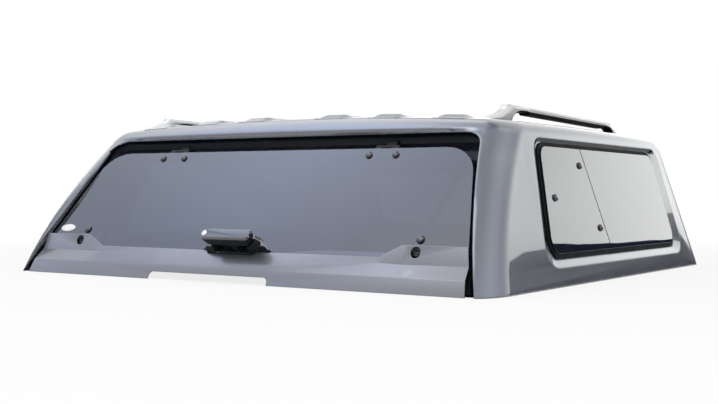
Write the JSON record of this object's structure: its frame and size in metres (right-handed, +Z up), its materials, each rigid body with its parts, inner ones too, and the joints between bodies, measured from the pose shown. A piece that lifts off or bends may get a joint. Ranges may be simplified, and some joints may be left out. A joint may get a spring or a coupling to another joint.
{
  "type": "pickup truck canopy",
  "caption": "Fibreglass canopy for a pickup load bed, with a lift-up tinted glass rear door on gas struts, recessed side windows and roof rails.",
  "frame": {"origin": "on the ground plane under the centre of the canopy's box", "axes": "+Z up, rear door faces -Y, +X is the right-hand side seen from behind"},
  "size_m": [1.6, 1.6056, 0.4783],
  "materials": {
    "navy_paint": "gloss",
    "skirt_paint": "satin",
    "tinted_glass": "dark tint",
    "rubber": "matte",
    "black_plastic": "satin",
    "black_steel": "satin",
    "steel": "bright",
    "strut_black": "gloss",
    "rail": "satin silver"
  },
  "bodies": {
    "canopy": {"shell": "navy_paint", "rear_door_seal": "rubber", "front_window_seal": "rubber", "front_window_glass": "tinted_glass", "hinge_base_left": "black_steel", "strut_bracket_left": "black_steel", "side_window_seal_left": "rubber", "side_glass_rear_left": "tinted_glass", "side_glass_front_left": "tinted_glass", "side_window_cap_upper_left": "black_plastic", "side_window_cap_lower_left": "black_plastic", "side_window_cap_latch_left": "black_plastic", "roof_rail_rear_foot_left": "rail", "roof_rail_bar_left": "rail", "roof_rail_front_foot_left": "rail", "hinge_base_right": "black_steel", "strut_bracket_right": "black_steel", "side_window_seal_right": "rubber", "side_glass_rear_right": "tinted_glass", "side_glass_front_right": "tinted_glass", "side_window_cap_upper_right": "black_plastic", "side_window_cap_lower_right": "black_plastic", "side_window_cap_latch_right": "black_plastic", "roof_rail_rear_foot_right": "rail", "roof_rail_bar_right": "rail", "roof_rail_front_foot_right": "rail"},
    "rear_door": {"door_glass": "tinted_glass", "door_skirt": "skirt_paint", "handle_base": "black_plastic", "hinge_leaf_left": "black_steel", "strut_stud_left": "black_steel", "latch_left": "black_steel", "hinge_leaf_right": "black_steel", "strut_stud_right": "black_steel", "latch_right": "black_steel"},
    "door_handle": {"handle_grip": "black_plastic", "lock_barrel": "steel"},
    "strut_tube_body_left": {"strut_tube_left": "strut_black"},
    "strut_rod_body_left": {"strut_rod_left": "steel"},
    "strut_tube_body_right": {"strut_tube_right": "strut_black"},
    "strut_rod_body_right": {"strut_rod_right": "steel"}
  },
  "joints": [
    {"name": "rear_door_lift", "type": "hinge", "parent": "canopy", "child": "rear_door", "pos_m": [0, -0.53346, 0.35929], "axis": [-1, 0, 0], "range_deg": [0, 60]},
    {"name": "door_handle_turn", "type": "hinge", "parent": "rear_door", "child": "door_handle", "pos_m": [0.022, -0.7397, 0.09257], "axis": [0, -0.8192, 0.5735], "range_deg": [0, 90]},
    {"name": "strut_swing_left", "type": "hinge", "parent": "canopy", "child": "strut_tube_body_left", "pos_m": [-0.552, -0.4845, 0.285], "axis": [-1, 0, 0], "range_deg": [0, 56]},
    {"name": "strut_slide_left", "type": "slide", "parent": "strut_tube_body_left", "child": "strut_rod_body_left", "axis": [0, -0.7579, -0.6524], "range_m": [0, 0.086]},
    {"name": "strut_swing_right", "type": "hinge", "parent": "canopy", "child": "strut_tube_body_right", "pos_m": [0.552, -0.4845, 0.285], "axis": [-1, 0, 0], "range_deg": [0, 56]},
    {"name": "strut_slide_right", "type": "slide", "parent": "strut_tube_body_right", "child": "strut_rod_body_right", "axis": [0, -0.7579, -0.6524], "range_m": [0, 0.086]}
  ],
  "couplings": [
    {"joint": "strut_swing_left", "follows": "rear_door_lift", "ratio": 0.9255},
    {"joint": "strut_slide_left", "follows": "rear_door_lift", "m_per_rad": 0.0816},
    {"joint": "strut_swing_right", "follows": "rear_door_lift", "ratio": 0.9255},
    {"joint": "strut_slide_right", "follows": "rear_door_lift", "m_per_rad": 0.0816}
  ]
}
